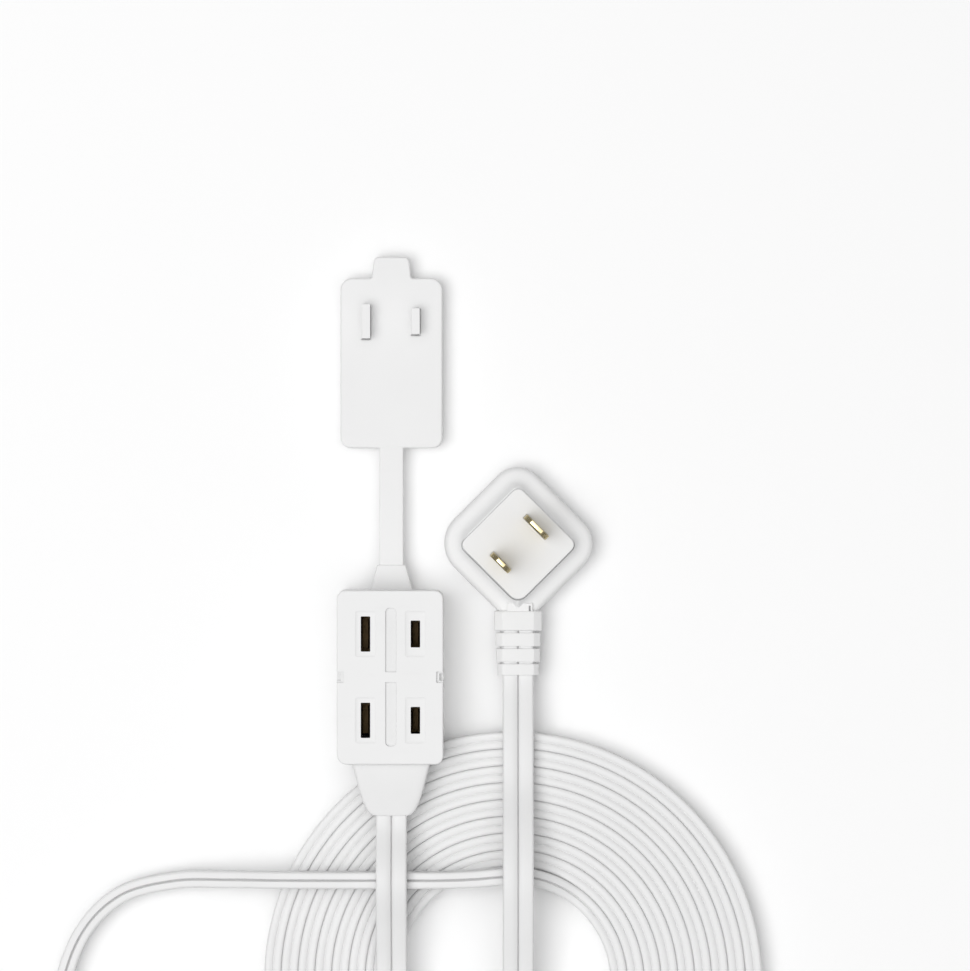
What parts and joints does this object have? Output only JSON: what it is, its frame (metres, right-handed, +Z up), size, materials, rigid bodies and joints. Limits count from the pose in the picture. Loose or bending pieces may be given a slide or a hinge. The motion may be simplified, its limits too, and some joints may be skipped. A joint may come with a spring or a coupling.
{
  "type": "extension cord",
  "caption": "White household extension cord with a slim polarised outlet block, a tethered fold-over safety cover, a flat plug and a pancake coil of flat two-conductor cord.",
  "frame": {"origin": "on the plane that everything lies on, under the middle of the outlet block, its strap and its safety cover taken together", "axes": "+Y from the outlet block to the safety cover, +Z up, the way the outlets face, +X to the right of the block when the cover is away from the viewer"},
  "size_m": [0.1818, 0.2757, 0.029],
  "materials": {
    "shell_plastic": "fine moulded white plastic",
    "soft_vinyl": "soft satin white vinyl",
    "cord_jacket": "satin white vinyl cord jacket",
    "contact_brass": "stamped brass",
    "blade_brass": "polished brass",
    "neutral_insulation": "white insulation",
    "hot_insulation": "black insulation"
  },
  "bodies": {
    "outlet_block": {"outlet_front_shell": "shell_plastic", "outlet_back_shell": "shell_plastic", "neutral_bus_bar": "contact_brass", "hot_bus_bar": "contact_brass", "neutral_clip_upper": "contact_brass", "neutral_clip_lower": "contact_brass", "hot_clip_upper": "contact_brass", "hot_clip_lower": "contact_brass", "neutral_crimp": "contact_brass", "hot_crimp": "contact_brass", "outlet_neutral_conductor": "neutral_insulation", "outlet_hot_conductor": "hot_insulation", "outlet_strain_relief": "soft_vinyl", "strap_anchor": "soft_vinyl", "plug_body": "soft_vinyl", "plug_face": "shell_plastic", "neutral_blade": "blade_brass", "hot_blade": "blade_brass", "plug_neutral_crimp": "contact_brass", "plug_hot_crimp": "contact_brass", "plug_neutral_conductor": "neutral_insulation", "plug_hot_conductor": "hot_insulation", "plug_strain_relief": "soft_vinyl", "plug_cord_run": "cord_jacket", "cord_coil": "cord_jacket", "outlet_cord_run": "cord_jacket"},
    "strap_link_1": {"strap_link_1": "soft_vinyl"},
    "strap_link_2": {"strap_link_2": "soft_vinyl"},
    "safety_cover": {"safety_cover": "soft_vinyl"}
  },
  "joints": [
    {"name": "strap_root_bend", "type": "hinge", "parent": "outlet_block", "child": "strap_link_1", "pos_m": [0, -0.00551, 0.0052], "axis": [1, 0, 0], "range_deg": [0, 60]},
    {"name": "strap_middle_bend", "type": "hinge", "parent": "strap_link_1", "child": "strap_link_2", "pos_m": [0, 0.0039, 0.0052], "axis": [1, 0, 0], "range_deg": [0, 60]},
    {"name": "cover_bend", "type": "hinge", "parent": "strap_link_2", "child": "safety_cover", "pos_m": [0, 0.01331, 0.0052], "axis": [1, 0, 0], "range_deg": [0, 60]}
  ],
  "couplings": [
    {"joint": "strap_middle_bend", "follows": "strap_root_bend", "ratio": 1},
    {"joint": "cover_bend", "follows": "strap_root_bend", "ratio": 1}
  ]
}
